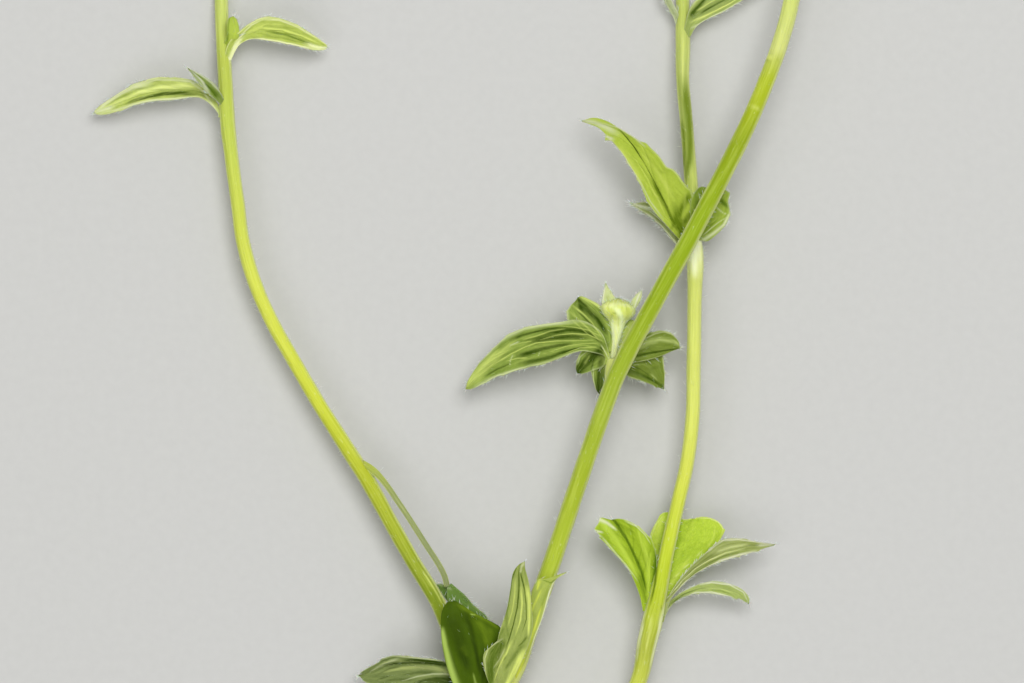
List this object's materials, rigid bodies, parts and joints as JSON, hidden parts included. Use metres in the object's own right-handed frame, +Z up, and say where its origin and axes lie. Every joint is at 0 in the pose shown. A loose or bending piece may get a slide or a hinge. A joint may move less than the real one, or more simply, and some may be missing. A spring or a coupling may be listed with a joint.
{
  "type": "wood avens flowering stem with a closed bud",
  "caption": "Cut flowering stem of wood avens lying flat: slim forked hairy stems, toothed leaves and bracts at the nodes, and a closed flower bud.",
  "frame": {"origin": "on the surface that the stem lies on, under the middle of its box", "axes": "+Y towards the tops of the stems, +Z up from the surface, +X to the right seen from above"},
  "size_m": [0.0895, 0.1158, 0.0118],
  "materials": {
    "stem": "satin",
    "leaf": "satin",
    "pale_leaf": "matte",
    "dark_leaf": "satin",
    "bud": "matte"
  },
  "bodies": {
    "root": {"stem": "stem", "lower_bract": "leaf", "upper_bract": "leaf", "upper_stipule": "leaf", "large_leaf": "leaf", "left_leaflet": "leaf", "broad_leaflet": "leaf", "top_leaf": "leaf", "stalk_leaf": "leaf", "left_bract": "leaf", "lower_stipule": "leaf", "striped_bract": "pale_leaf", "sheath": "pale_leaf", "grey_leaflet": "pale_leaf", "thin_leaflet": "pale_leaf", "thin_lobe": "pale_leaf", "top_stipule": "pale_leaf", "dark_leaf": "dark_leaf", "middle_leaf": "dark_leaf", "right_leaf": "dark_leaf", "folded_stipule": "dark_leaf", "bud": "bud"}
  },
  "joints": []
}
